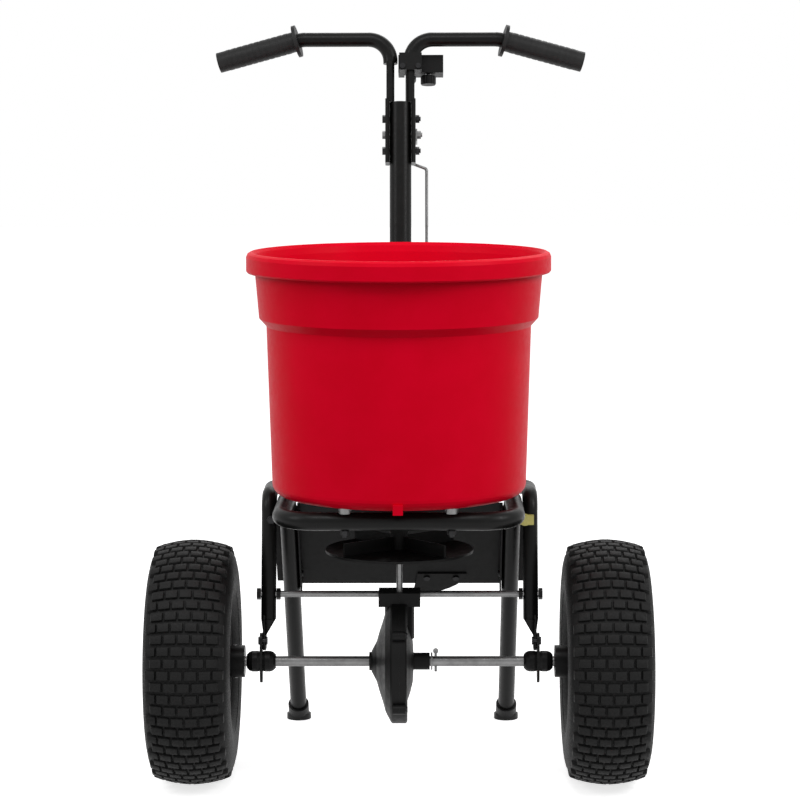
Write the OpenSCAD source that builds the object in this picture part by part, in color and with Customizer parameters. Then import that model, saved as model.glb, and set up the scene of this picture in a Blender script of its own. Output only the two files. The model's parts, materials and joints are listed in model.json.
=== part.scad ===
// Walk-behind garden spreader: hopper, tube frame, geared impeller and rate gate.
// Millimetres, +Z up. The front faces -Y; the origin is under the middle of the whole machine.

/* [Wheels] */
// Outside diameter of the tyres
wheel_d = 305; // [280:1:330]
// Width of a tyre over its sidewalls
tyre_w = 106; // [96:1:126]
// Distance between the middles of the two tyres
track = 515; // [500:1:600]
// Diameter of the axle
axle_d = 12.7; // [10:0.1:15]

/* [Hopper] */
// Outside diameter of the rolled rim
rim_d = 376; // [366:1:400]
// Height of the top of the rim above the ground
hopper_top = 666; // [610:1:700]
// Height of the underside of the hopper floor
hopper_floor = 366; // [364:1:368]
// Thickness of the hopper's plastic wall
hopper_wall = 3; // [2:0.1:4]

/* [Frame] */
// Diameter of the leg tube
leg_tube_d = 22; // [18:0.5:23]
// Diameter of the two side tubes
side_tube_d = 19; // [16:0.5:20]
// Wall of every frame tube
tube_wall = 1.6; // [1:0.1:2]
// Distance between the two legs
leg_spacing = 285; // [270:1:286]
// Distance between the two axle plates
plate_spacing = 346; // [340:1:350]
// How far the feet stand behind the axle
foot_back = 329; // [300:1:360]

/* [Handle] */
// Height of the level part of the handlebar
handle_z = 929; // [910:1:960]
// Width over the ends of the two grips
handle_w = 486; // [460:1:560]
// Diameter of the upright
upright_d = 28.6; // [25:0.1:30]
// Diameter of the handlebar tubes
bar_d = 19; // [16:0.5:20]
// Diameter over the grips
grip_d = 27; // [25:0.5:32]

/* [Spreading] */
// Diameter of the impeller
impeller_d = 184; // [150:1:190]
// Diameter of the upright drive shaft
shaft_d = 8; // [7:0.1:9]
// Diameter of each outlet in the hopper floor
outlet_d = 14; // [10:0.5:15]

/* [Hidden] */
$fn = 48;

wheel_r = wheel_d / 2;
axle_r = axle_d / 2;
axle_z = wheel_r;
tyre_x = track / 2;
fit = 0.08;
gap = 0.3;
eps = 0.5;

// Frame tubes
leg_r = leg_tube_d / 2;
side_r = side_tube_d / 2;
leg_x = leg_spacing / 2;
rail_z = hopper_floor - 17;
rail_front = 70 - rim_d / 2;
rail_back = 59;
leg_bend = 45;
plate_x = plate_spacing / 2;
plate_t = 3.2;
end_t = 4;
end_out = plate_x - plate_t / 2 - gap;
end_in = end_out - end_t;
rivet_head = 2;
strut_x = plate_x - 9;
strut_top = hopper_floor - 11;
strut_mid_y = 40;
strut_low = axle_z + 52;
rivet_z = strut_low - 26;
side_bend = 22;
foot_r = leg_r + 5.5;

// Upright and handlebar
lean = 12;
lean_slope = tan(lean);
upright_r = upright_d / 2;
upright_y = 175;
upright_y_z = 380;
upright_low = 320;
upright_top = handle_z - 84;
top_y = upright_y + (upright_top - upright_y_z) * lean_slope;
bar_r = bar_d / 2;
bar_rise = (handle_z - upright_top) / cos(lean);
bar_bend = 29;
flat_t = 10.5;
flat_x = 13.4;
clamp_t = 5.7;
flat_w = 24;
clamp_low = -82;
grip_x = 131;
grip_end = handle_w / 2;
grip_drop = 27;
grip_back = 14;
grip_r = grip_d / 2;
bolt_hi = -21.5;
bolt_lo = -64.4;

// Machine centre in y: the hopper rim leads and the feet trail
centre_shift = (rim_d / 2 - foot_back - foot_r) / 2;

// Drive
shaft_r = shaft_d / 2;
shaft_low = axle_z + 40.5;
ring_r = 50;
ring_teeth = 50;
pinion_teeth = 10;
pinion_r = ring_r * pinion_teeth / ring_teeth;
tooth_w = 1.8;
tooth_face = 10;
addendum = 0.9;
dedendum = 1.7;
hanger_z = axle_z + 82.5;
hanger_y = 14.4;
hanger_r = 4;
impeller_z = 292;

// Gate and its linkage
gate_t = 2.4;
gate_z = hopper_floor - gap - gate_t;
gate_w = 88;
guide_t = 2.6;
guide_z = gate_z - gap - guide_t;
outlet_y = 38;
outlet_pitch = 28;
rod_r = 2;
rod_back = 17;
rod_x = 14;
rod_low_x = 30;
rod_hi_x = rod_x - 5.5;
rod_foot_x = rod_low_x + 4.5;
lever_arm = 20;
lever_half = 22;
crank_arm = 36;
gate_arm = 34;
rod_travel = lever_arm * 2 * lever_half * PI / 180;
crank_half = lever_half * lever_arm / crank_arm;
gate_travel = gate_arm * 2 * crank_half * PI / 180;
rod_pin_z = 311;
rod_pin_y = line_y(rod_pin_z) + rod_back / cos(lean);
crank_y = rod_pin_y - crank_arm * cos(lean);
crank_z = rod_pin_z + crank_arm * sin(lean);
lever_y = rod_back + lever_arm;
lever_pivot_z = 48;

// Colours
red = [0.8, 0.03, 0.1];
black = [0.08, 0.08, 0.09];
rubber = [0.13, 0.13, 0.13];
plated = [0.7, 0.71, 0.73];
dark_steel = [0.12, 0.12, 0.13];
yellow = [0.85, 0.8, 0.1];

function unit(v) = v / norm(v);
function turn(a, b) = acos(max(-1, min(1, unit(a) * unit(b))));
function line_y(z) = upright_y + (z - upright_y_z) * lean_slope;
function arc(c, r, a, b, n) = [for (i = [0 : n])
    let (t = a + (b - a) * i / n) c + r * [cos(t), sin(t)]];

// Everything below is drawn with y = 0 on the axle, then moved to the shared centre
module place() {
    translate([0, centre_shift, 0]) children();
}

// Frame of the leaning upright: origin at the middle of its top end
module leaning() {
    translate([0, top_y, upright_top]) rotate([-lean, 0, 0]) children();
}

module aim(p, d) {
    u = unit(d);
    translate(p) rotate([0, acos(u[2]), atan2(u[1], u[0])]) children();
}

// Round bar along X from x0 to x1
module bar_x(x0, x1, r, y = 0, z = 0) {
    translate([x0, y, z]) rotate([0, 90, 0]) cylinder(h = x1 - x0, r = r);
}

// Round bar along Y from y0 to y1
module bar_y(y0, y1, r, x = 0, z = 0) {
    translate([x, y0, z]) rotate([-90, 0, 0]) cylinder(h = y1 - y0, r = r);
}

module block(x0, x1, y0, y1, z0, z1) {
    translate([x0, y0, z0]) cube([x1 - x0, y1 - y0, z1 - z0]);
}

module revolve_x(points) {
    rotate([0, 90, 0]) rotate_extrude($fn = 96) polygon(points);
}

module elbow(p, a, b, bend, r) {
    t = turn(a, b);
    u = unit(a);
    side = unit(unit(b) - u * (u * unit(b)));
    up = cross(side, u);
    c = p - u * bend * tan(t / 2) + side * bend;
    multmatrix([[side[0], u[0], up[0], c[0]], [side[1], u[1], up[1], c[1]],
        [side[2], u[2], up[2], c[2]], [0, 0, 0, 1]])
        rotate([0, 0, 180 - t]) rotate_extrude(angle = t) translate([bend, 0]) circle(r);
}

// Round bar bent along a path: straight runs seated in slightly fuller bends
module bent_bar(pts, bend, r, seat = 2, swell = 0.15) {
    n = len(pts);
    for (i = [0 : n - 2]) {
        d = unit(pts[i + 1] - pts[i]);
        s = i == 0 ? 0 : bend * tan(turn(pts[i] - pts[i - 1], d) / 2) - seat;
        e = i == n - 2 ? 0 : bend * tan(turn(d, pts[i + 2] - pts[i + 1]) / 2) - seat;
        aim(pts[i] + d * s, d) cylinder(h = norm(pts[i + 1] - pts[i]) - s - e, r = r);
    }
    for (i = [1 : 1 : n - 2])
        elbow(pts[i], pts[i] - pts[i - 1], pts[i + 1] - pts[i], bend, r + swell);
}

// The path with its two ends drawn out by e, for a bore that leaves both ends open
function drawn_out(p, e) = let (n = len(p)) [for (i = [0 : n - 1])
    i == 0 ? p[0] - e * unit(p[1] - p[0]) : i == n - 1 ? p[i] + e * unit(p[i] - p[i - 1]) : p[i]];

module bent_tube(pts, bend, r, wall) {
    difference() {
        bent_bar(pts, bend, r);
        bent_bar(drawn_out(pts, eps), bend, r - wall);
    }
}

// Flattened tube end: eight-sided section t thick (x) and w wide (y), from z0 to z1
module flat_end(x, t, w, z0, z1) {
    c = t * 0.3;
    translate([x, 0, z0]) linear_extrude(z1 - z0) polygon([[-t / 2, -w / 2 + c],
        [-t / 2 + c, -w / 2], [t / 2 - c, -w / 2], [t / 2, -w / 2 + c], [t / 2, w / 2 - c],
        [t / 2 - c, w / 2], [-t / 2 + c, w / 2], [-t / 2, w / 2 - c]]);
}

module hex(r, h) {
    cylinder(h = h, r = r, $fn = 6);
}

// Hexagon bolt along +X: under-head face at x0, nut face at x1
module bolt_x(x0, x1, r, y, z) {
    translate([x0, y, z]) rotate([0, 90, 0]) {
        translate([0, 0, -r * 1.3]) hex(r * 1.8, r * 1.3 + 0.01);
        cylinder(h = x1 - x0 + r * 2.2, r = r);
        translate([0, 0, x1 - x0]) hex(r * 1.8, r * 1.6);
    }
}

module mirror_left() {
    mirror([1, 0, 0]) children();
}

// ---- leg frame and feet ----

sole_t = 6;
leg_drop = (rail_z - sole_t) / (foot_back - rail_back);
leg_dir = unit([0, foot_back - rail_back, sole_t - rail_z]);

function leg_foot(side) = [side * leg_x, foot_back, sole_t];

inner_wall_x = leg_x - leg_r + 5;
leg_path = [leg_foot(-1) + 14 * leg_dir, [-leg_x, rail_back, rail_z], [-leg_x, rail_front, rail_z],
    [leg_x, rail_front, rail_z], [leg_x, rail_back, rail_z], leg_foot(1) + 14 * leg_dir];

module leg_frame() {
    color(black) place() difference() {
        bent_tube(leg_path, leg_bend, leg_r, tube_wall);
        for (x = [-hopper_bolt_x, hopper_bolt_x])
            translate([x, rail_front, rail_z - leg_r - 1]) cylinder(h = leg_tube_d + 2, r = 3 + gap);
        for (s = [-1, 1]) {
            translate([s * leg_x, cleat_y, rail_z - leg_r - 1]) cylinder(h = leg_tube_d + 2, r = 3 + gap);
            for (z = [shield_hi, shield_lo])
                bar_x(s * inner_wall_x - 6, s * inner_wall_x + 6, 2 + gap, shield_y(z), z);
        }
        block(-leg_x - 30, leg_x + 30, foot_back - 60, foot_back + 60, -30, sole_t);
    }
}

hopper_bolt_x = 64;
cleat_y = 32;

function leg_y(z) = rail_back + (rail_z - z) / leg_drop;

// Moulded rubber foot: a flat pad with a sloping socket for the tube's end
module foot(side) {
    at = leg_foot(side);
    color(rubber) place() difference() {
        union() {
            translate([at[0], foot_back, 0]) cylinder(h = 7, r = foot_r);
            aim(at - leg_dir * 22, leg_dir) cylinder(h = 30, r = leg_r + 3);
        }
        difference() {
            aim(at - leg_dir * 40, leg_dir) cylinder(h = 60, r = leg_r + 0.05);
            block(at[0] - 30, at[0] + 30, foot_back - 60, foot_back + 60, -30, sole_t);
        }
        block(at[0] - 30, at[0] + 30, foot_back - 60, foot_back + 60, -30, 0);
    }
}

module foot_left() {
    foot(-1);
}

module foot_right() {
    foot(1);
}

// ---- side tubes, axle plates and bearings ----

side_low_y = 8;
side_end_x = upright_r + 13;
side_dir = unit([0, strut_mid_y - side_low_y, strut_top - strut_low]);
side_path = [[strut_x, side_low_y, strut_low], [strut_x, strut_mid_y, strut_top],
    [strut_x, 112, strut_top], [side_end_x, line_y(strut_top) + 1, strut_top]];

ear_bolt_z = strut_top - 18;

module side_tube() {
    difference() {
        union() {
            bent_tube(side_path, side_bend, side_r, tube_wall);
            translate([end_out - end_t / 2, 0, 0]) rotate([-3, 0, 0])
                flat_end(0, end_t, 23, strut_low - 38, strut_low + 6);
            intersection() {
                translate([strut_x, 9.5, rivet_z]) cylinder(h = 40, r = 11.4);
                translate([0, 30, 0]) rotate([90, 0, 0]) linear_extrude(40)
                    polygon([[strut_x - side_r + 0.4, strut_low + 1], [end_in + gap, rivet_z + 6],
                        [end_out - gap, rivet_z + 6], [end_out - gap, rivet_z + 11],
                        [strut_x + side_r - 0.4, strut_low + 1]]);
            }
            translate([strut_x, side_low_y, strut_low]) rotate([-6, 0, 0])
                translate([0, 0, 0.5]) cylinder(h = 5, r = side_r - 0.3);
            block(upright_r + 0.2, upright_r + 5.2, line_y(strut_top) - 13, line_y(strut_top) + 12,
                ear_bolt_z - 9, strut_top + side_r - 1);
            block(upright_r + 3, side_end_x + 3, line_y(strut_top) - 7, line_y(strut_top) + 8,
                strut_top - 6, strut_top + 6);
        }
        bar_x(strut_x - 15, plate_x + 15, hanger_r + gap, hanger_y, hanger_z);
        bar_y(strut_y(side_bolt_z) - 14, strut_y(side_bolt_z) + 14, 3 + gap, strut_x - 3, side_bolt_z);
        bar_x(upright_r - 1, side_end_x + 30, 3 + gap, line_y(ear_bolt_z), ear_bolt_z);
        bar_x(plate_x - 14, plate_x, 3 + 0.02, 0, rivet_z);
    }
}

function strut_y(z) = side_low_y + (z - strut_low) * (strut_mid_y - side_low_y) / (strut_top - strut_low);

module side_tube_left() {
    color(black) place() mirror_left() side_tube();
}

module side_tube_right() {
    color(black) place() side_tube();
}

plate_top = rivet_z;
plate_low = axle_z - 27;

module axle_plate() {
    difference() {
        union() {
            bar_x(plate_x - plate_t / 2, plate_x + plate_t / 2, 10, 0, plate_top);
            bar_x(plate_x - plate_t / 2, plate_x + plate_t / 2, 10, 0, plate_low + 10);
            block(plate_x - plate_t / 2, plate_x + plate_t / 2, -9.9, 9.9, plate_low + 10, plate_top);
        }
        bar_x(plate_x - 9, plate_x + 9, 8.2, 0, axle_z);
        bar_x(plate_x - 9, plate_x + 9, 3.02, 0, rivet_z);
    }
}

module axle_plate_left() {
    color(black) place() mirror_left() axle_plate();
}

module axle_plate_right() {
    color(black) place() axle_plate();
}

// Two flanged nylon bushes meet inside the plate
module axle_bearing() {
    for (s = [-1, 1]) translate([plate_x, 0, axle_z]) rotate([0, s * 90, 0]) difference() {
        union() {
            rotate_extrude($fn = 96) polygon([[0, plate_t / 2 + 0.05], [12.2, plate_t / 2 + 0.05],
                [13, 5], [13, 11], [11.6, 15], [8.6, 18], [0, 18]]);
            translate([0, 0, 0.1]) cylinder(h = 5, r = 8.1);
        }
        translate([0, 0, -1]) cylinder(h = 24, r = axle_r + fit);
    }
}

module axle_bearing_left() {
    color(black) place() mirror_left() axle_bearing();
}

module axle_bearing_right() {
    color(black) place() axle_bearing();
}

module plate_rivets() {
    color(dark_steel) place() for (s = [0, 1]) mirror([s, 0, 0]) {
        bar_x(end_in - rivet_head, plate_x + plate_t / 2 + rivet_head, 3, 0, rivet_z);
        bar_x(plate_x + plate_t / 2 + 0.05, plate_x + plate_t / 2 + rivet_head + 0.05, 5, 0, rivet_z);
        bar_x(end_in - rivet_head - 0.05, end_in - 0.05, 5, 0, rivet_z);
    }
}

// Cleats that tie each side tube to the leg rail
side_bolt_z = 328;
cleat_y1 = strut_y(side_bolt_z) + side_r + 2;

module side_brackets() {
    under = rail_z - leg_r;
    color(black) place() for (s = [0, 1]) mirror([s, 0, 0]) difference() {
        union() {
            block(leg_x - 9, leg_x + 9, cleat_y - 9, cleat_y + 5.1, under - 2.8, under - 0.2);
            block(leg_x - 9, leg_x + 9, cleat_y + 4.9, cleat_y + 8, under - 7.2, under - 0.6);
            block(leg_x - 9, leg_x + 9, cleat_y + 4.9, cleat_y1 + 3, under - 7.2, under - 4.4);
            block(leg_x - 9, strut_x + 8, cleat_y1, cleat_y1 + 3, side_bolt_z - 10, under - 4.4);
        }
        bar_y(cleat_y1 - 5, cleat_y1 + 5, 3 + gap, strut_x - 3, side_bolt_z);
        translate([leg_x, cleat_y, rail_z - 20]) cylinder(h = 20, r = 3 + gap);
    }
}

module side_bolts() {
    y0 = strut_y(side_bolt_z) - side_r - 1.6;
    color(dark_steel) place() for (s = [0, 1]) mirror([s, 0, 0]) {
        bar_y(y0 - 6, cleat_y1 + 6, 3, strut_x - 3, side_bolt_z);
        translate([strut_x - 3, cleat_y1 + 3.1, side_bolt_z]) rotate([-90, 0, 0]) hex(5.4, 4);
        translate([leg_x, cleat_y, rail_z - leg_r - 7]) cylinder(h = leg_tube_d + 11.5, r = 3);
        translate([leg_x, cleat_y, rail_z - leg_r - 6.9]) hex(5.4, 4);
        translate([leg_x, cleat_y, rail_z + leg_r + 0.1]) hex(5.4, 4);
        if (s == 1) translate([strut_x - 3, y0, side_bolt_z]) rotate([90, 0, 0]) hex(5.4, 5);
    }
}

// Winged plastic nut on the right-hand bolt
module thumb_nut() {
    y0 = strut_y(side_bolt_z) - side_r - 1.6;
    color(yellow) place() difference() {
        union() {
            bar_y(y0 - 9, y0, 7, strut_x - 7, side_bolt_z);
            block(strut_x - 24, strut_x + 4, y0 - 8, y0 - 1, side_bolt_z - 6, side_bolt_z + 6);
        }
        bar_y(y0 - 7.5, y0 + 1, 3 + 0.05, strut_x - 3, side_bolt_z);
    }
}

// ---- gearbox on its hanger rod ----

module gearbox_hanger() {
    color(plated) place() bar_x(-plate_x - 4.4, plate_x + 4.4, hanger_r, hanger_y, hanger_z);
}

module hanger_nuts() {
    color(black) place() for (s = [0, 1]) mirror([s, 0, 0]) {
        for (x = [strut_x + side_r + 0.4, strut_x - side_r - 5.4]) difference() {
            translate([x, hanger_y, hanger_z]) rotate([0, 90, 0]) hex(7.4, 5);
            bar_x(x - 1, x + 6, hanger_r + 0.05, hanger_y, hanger_z);
        }
    }
}

shell_t = 2.4;
shell_outer = [[0, -35], [13, -35], [25, -28.7], [38, -25], [50, -21], [63, -17.4], [75, -11],
    [77, -9], [77, 7.5], [75, 9.5], [50, 9.5], [38, 13.5], [25, 16.6], [0, 18]];
shell_inner = [[0, -30], [13, -30], [25, -26.2], [38, -22.5], [50, -18.5], [62, -15], [73, -8.6],
    [74.4, -7.5], [74.4, 6], [73.5, 7], [50, 7], [38, 11], [25, 14.2], [0, 15.4]];
tower_r = 18.5;
flange_z0 = axle_z + 71.5;
flange_z1 = axle_z + 88.5;
ear_r = 6;
ear_at = 80;
ear_angles = [35, 145, 215, 325];

module gearbox_shape() {
    translate([0, 0, axle_z]) revolve_x(shell_outer);
    bar_x(16, 37.6, 10.7, 0, axle_z);
    bar_x(-38, -33, 11.5, 0, axle_z);
    translate([0, 0, axle_z + 30]) cylinder(h = flange_z0 - axle_z - 29, r = tower_r);
    block(-26, 26, -15, 25, flange_z0, flange_z1);
    for (a = ear_angles) {
        bar_x(-8, 8, ear_r, ear_at * cos(a), axle_z + ear_at * sin(a));
        bar_x(-8, 8, ear_r - 1, (ear_at - 5) * cos(a), axle_z + (ear_at - 5) * sin(a));
    }
}

module gearbox_hollow() {
    translate([0, 0, axle_z]) revolve_x(shell_inner);
    bar_x(-50, 50, axle_r + fit, 0, axle_z);
    translate([0, 0, axle_z + 40]) cylinder(h = 26, r = tower_r - 3);
    translate([0, 0, axle_z + 60]) cylinder(h = 40, r = shaft_r + fit);
    bar_x(-40, 40, hanger_r + 0.05, hanger_y, hanger_z);
    for (a = ear_angles) bar_x(-20, 20, 1.8, ear_at * cos(a), axle_z + ear_at * sin(a));
}

module gearbox_left() {
    color(black) place() difference() {
        gearbox_shape();
        gearbox_hollow();
        block(0, 60, -100, 100, 0, 400);
    }
}

module gearbox_right() {
    color(black) place() difference() {
        gearbox_shape();
        gearbox_hollow();
        block(-60, 0.02, -100, 100, 0, 400);
    }
}

module gearbox_screws() {
    color(dark_steel) place() for (a = ear_angles)
        translate([0, ear_at * cos(a), axle_z + ear_at * sin(a)]) {
            bar_x(-6.5, 8.5, 1.7);
            bar_x(8.1, 10.4, 3.6);
        }
}

// ---- hopper ----

rim_r = rim_d / 2;
rim_skirt = 25;
upper_hi_r = rim_r - 9.5;
upper_lo_r = rim_r - 15.5;
step_hi = hopper_floor + 219;
step_lo = hopper_floor + 209;
body_hi_r = rim_r - 24.5;
body_lo_r = rim_r - 30.5;
corner_r = 14;

module hopper_solid() {
    rotate_extrude($fn = 120) polygon(concat([[0, hopper_floor], [body_lo_r - corner_r, hopper_floor]],
        arc([body_lo_r - corner_r, hopper_floor + corner_r], corner_r, -75, 0, 5),
        [[body_hi_r, step_lo], [upper_lo_r, step_hi], [upper_hi_r, hopper_top - 12],
        [upper_hi_r + 1, hopper_top - 5], [rim_r - 4.4, hopper_top - 5],
        [rim_r - 3.6, hopper_top - rim_skirt], [rim_r - 1.5, hopper_top - rim_skirt],
        [rim_r, hopper_top - rim_skirt + 2], [rim_r, hopper_top - 6],
        [rim_r - 1.6, hopper_top - 2], [rim_r - 5, hopper_top], [0, hopper_top]]));
}

module hopper_inside() {
    w = hopper_wall;
    f = hopper_floor + w;
    rotate_extrude($fn = 120) polygon(concat([[0, f], [body_lo_r - corner_r, f]],
        arc([body_lo_r - corner_r, hopper_floor + corner_r], corner_r - w, -75, 0, 5),
        [[body_hi_r - w, step_lo + 1], [upper_lo_r - w, step_hi + 1], [upper_hi_r - w, hopper_top - 12],
        [upper_hi_r - 1, hopper_top - 4], [upper_hi_r + 3, hopper_top + 1], [0, hopper_top + 1]]));
}

module hopper() {
    color(red) place() difference() {
        union() {
            difference() {
                hopper_solid();
                hopper_inside();
            }
            block(-6, 6, -body_lo_r - 2, -body_lo_r + 12, hopper_floor - 3, hopper_floor + 9);
            translate([0, 0, hopper_floor + 1]) cylinder(h = 8, r = 13);
        }
        translate([0, 0, hopper_floor - 1]) cylinder(h = 20, r = 7);
        for (i = [-1 : 1]) translate([i * outlet_pitch, outlet_y, hopper_floor - 1])
            cylinder(h = 10, d = outlet_d);
        for (x = [-hopper_bolt_x, hopper_bolt_x])
            translate([x, rail_front, hopper_floor - 1]) cylinder(h = 10, r = 3 + gap);
        for (x = [-wall_bolt_x, wall_bolt_x])
            bar_y(body_lo_r - 20, body_hi_r + 10, 3 + gap, x, hopper_bracket_z);
        for (p = guide_screw_at) translate([p[0], p[1], hopper_floor - 1]) cylinder(h = 10, r = 2 + 0.02);
    }
}

module hopper_spacers() {
    color(plated) place() for (x = [-hopper_bolt_x, hopper_bolt_x]) difference() {
        translate([x, rail_front, rail_z + leg_r - 1.2])
            cylinder(h = hopper_floor - rail_z - leg_r + 1.15, r = 8);
        translate([x, rail_front, rail_z]) cylinder(h = 30, r = 3 + gap);
        bar_x(x - 20, x + 20, leg_r + 0.05, rail_front, rail_z);
    }
}

module hopper_bolts() {
    color(dark_steel) place() for (x = [-hopper_bolt_x, hopper_bolt_x]) translate([x, rail_front, 0]) {
        translate([0, 0, hopper_floor + hopper_wall + 0.05]) cylinder(h = 3, r = 8);
        translate([0, 0, rail_z - leg_r - 8]) cylinder(h = hopper_floor - rail_z + leg_r + 12, r = 3);
        translate([0, 0, rail_z - leg_r - 5.2]) hex(5.4, 5);
    }
    color(dark_steel) place() for (x = [-wall_bolt_x, wall_bolt_x]) {
        y = wall_y + 3.65;
        bar_y(y - 11, y + 6, 3, x, hopper_bracket_z);
        translate([x, y, hopper_bracket_z]) rotate([-90, 0, 0]) hex(5.4, 4);
        bar_y(y - 13.4, y - 10, 7, x, hopper_bracket_z);
    }
}

hopper_bracket_z = 548;
wall_bolt_x = 24.5;
wall_y = body_lo_r + (body_hi_r - body_lo_r) * (hopper_bracket_z - hopper_floor) / (step_lo - hopper_floor);
bracket_mid = line_y(hopper_bracket_z);

// Channel bracket between the hopper's back wall and the upright
module hopper_bracket() {
    color(black) place() difference() {
        union() {
            block(-31, 31, wall_y + 0.6, wall_y + 3.6, hopper_bracket_z - 16, hopper_bracket_z + 16);
            for (s = [-1, 1]) block(s * (upright_r + 1.9) - 1.5, s * (upright_r + 1.9) + 1.5, wall_y + 1,
                bracket_mid + 12, hopper_bracket_z - 14, hopper_bracket_z + 14);
        }
        for (x = [-wall_bolt_x, wall_bolt_x]) bar_y(wall_y - 2, wall_y + 10, 3 + gap, x, hopper_bracket_z);
        bar_x(-30, 30, 3 + gap, bracket_mid, hopper_bracket_z);
    }
}

// Bush that carries the drive shaft through the hopper floor
module shaft_bush() {
    color(black) place() difference() {
        union() {
            translate([0, 0, hopper_floor + 0.2]) cylinder(h = 12, r = 6.9);
            translate([0, 0, hopper_floor + 9.1]) cylinder(h = 3.1, r = 11);
        }
        translate([0, 0, hopper_floor - 5]) cylinder(h = 30, r = shaft_r + fit);
    }
}

// ---- gate guide under the floor ----

guide_w = gate_w + 22;
guide_front = -52;
guide_back = 118;
guide_screw_at = [for (x = [5 - guide_w / 2, guide_w / 2 - 5], y = [-40, 60]) [x, y]];

module gate_guide() {
    color(black) place() difference() {
        union() {
            block(-guide_w / 2, guide_w / 2, guide_front, guide_back, guide_z, guide_z + guide_t);
            for (s = [-1, 1]) block(s * (guide_w / 2 - 5.2) - 5.2, s * (guide_w / 2 - 5.2) + 5.2,
                guide_front, guide_back, guide_z + 1, hopper_floor - 0.05);
            block(rod_low_x - 10, rod_low_x - 7, crank_y - 12, crank_y + 12, crank_z - 12, crank_z);
            block(rod_low_x - 10, rod_low_x - 7, crank_y - 12, crank_y + 12, crank_z - 2, guide_z + 1);
            block(rod_low_x - 10, rod_low_x - 7, guide_back - 20, crank_y + 12,
                guide_z - 14, guide_z + guide_t);
        }
        bar_x(rod_low_x - 12, rod_low_x, 4 + fit, crank_y, crank_z);
        translate([0, 0, guide_z - 1]) cylinder(h = 20, r = 9);
        for (i = [-1 : 1]) translate([i * outlet_pitch, outlet_y, guide_z - 1])
            cylinder(h = 10, d = outlet_d + 3);
        for (p = guide_screw_at) translate([p[0], p[1], guide_z - 1]) cylinder(h = 10, r = 2 + gap);
    }
}

// ---- shield between the legs ----

shield_hi = rail_z - 22;
shield_lo = 236;
shield_half = leg_x - leg_r - 0.6;
shield_end = -28;
wing_half = strut_x - 2;
wing_back = -leg_r - gap - 2.1;
baffle_y = shield_end + 13;
baffle_screw_x = [34, 72];

function shield_y(z) = leg_y(z);

shield_len = norm([leg_y(shield_lo) - leg_y(shield_hi), shield_hi - shield_lo]);

// Local frame: x across, y up the slope, z towards the front
module deflector_shield() {
    color(black) place() difference() {
        slope() {
            block(-shield_half, shield_half, shield_end, shield_len + 10, -9, -7);
            for (s = [-1, 1]) block(s * (shield_half - 1) - 1, s * (shield_half - 1) + 1,
                shield_end, shield_len + 10, -9, 9);
            for (s = [0, 1]) mirror([s, 0, 0]) {
                block(shield_half - 2, shield_half, shield_end, shield_len, wing_back, -8);
                block(shield_half - 2, wing_half, shield_end, shield_len, wing_back, wing_back + 2);
            }
        }
        for (z = [shield_hi, shield_lo]) bar_x(-leg_x, leg_x, 2 + gap, shield_y(z), z);
        slope() for (x = baffle_screw_x) translate([x, baffle_y, -12]) cylinder(h = 10, r = 2 + gap);
    }
}

module slope() {
    a = atan2(shield_hi - shield_lo, leg_y(shield_lo) - leg_y(shield_hi));
    translate([0, leg_y(shield_lo), shield_lo]) rotate([180 - a, 0, 0]) children();
}

// Curved blade that trims the pattern on the right
module spread_baffle() {
    color(black) place() slope() difference() {
        translate([0, 0, -6.95]) linear_extrude(2) difference() {
            polygon(concat([[86, baffle_y + 8], [22, baffle_y + 8]],
                arc([28, baffle_y + 40], 70, -100, -34, 8)));
            translate([20, baffle_y + 60]) circle(40);
        }
        for (x = baffle_screw_x) translate([x, baffle_y, -10]) cylinder(h = 10, r = 2 + gap);
    }
}

// Every M4 screw of the gate guide and the shield
module small_screws() {
    color(dark_steel) place() {
        for (p = guide_screw_at) translate([p[0], p[1], guide_z]) {
            translate([0, 0, -2.05]) cylinder(h = 2, r = 4);
            translate([0, 0, -1]) cylinder(h = hopper_floor - guide_z + hopper_wall, r = 2);
        }
        for (z = [shield_hi, shield_lo], s = [0, 1]) mirror([s, 0, 0]) {
            bar_x(shield_half - 2 - 2.2, shield_half - 2.05, 4, shield_y(z), z);
            bar_x(shield_half - 3, leg_x - 3, 2, shield_y(z), z);
        }
        slope() for (x = baffle_screw_x) translate([x, baffle_y, 0]) {
            translate([0, 0, -4.9]) cylinder(h = 2, r = 4);
            translate([0, 0, -12.5]) cylinder(h = 8, r = 2);
            translate([0, 0, -12.1]) hex(3.6, 3);
        }
    }
}

// ---- upright and handlebar ----

upright_len = (upright_top - upright_low) / cos(lean);

module upright() {
    color(black) place() difference() {
        leaning() difference() {
            translate([0, 0, -upright_len]) cylinder(h = upright_len, r = upright_r);
            translate([0, 0, -upright_len - 1]) cylinder(h = upright_len - 3, r = upright_r - tube_wall);
            for (z = [bolt_hi, bolt_lo, -43]) bar_x(-30, 30, 3 + gap, 0, z);
        }
        bar_x(-30, 30, 3 + gap, bracket_mid, hopper_bracket_z);
        bar_x(-30, 30, 3 + gap, line_y(ear_bolt_z), ear_bolt_z);
    }
}

module upright_bolts() {
    color(dark_steel) place() {
        bolt_x(-upright_r - 5.3, upright_r + 5.3, 3, line_y(ear_bolt_z), ear_bolt_z);
        bolt_x(-upright_r - 3.5, upright_r + 3.5, 3, bracket_mid, hopper_bracket_z);
    }
}

bar_foot_z = bar_rise - bar_bend - 4;
bar_path = [[flat_x, 0, bar_foot_z], [flat_x, 0, bar_rise], [grip_x, 0, bar_rise],
    [grip_end - 4, grip_back, bar_rise - grip_drop]];
bar_bore = [bar_path[0] + [0, 0, 2], bar_path[1], bar_path[2],
    bar_path[3] + 2 * unit(bar_path[3] - bar_path[2])];

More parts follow.
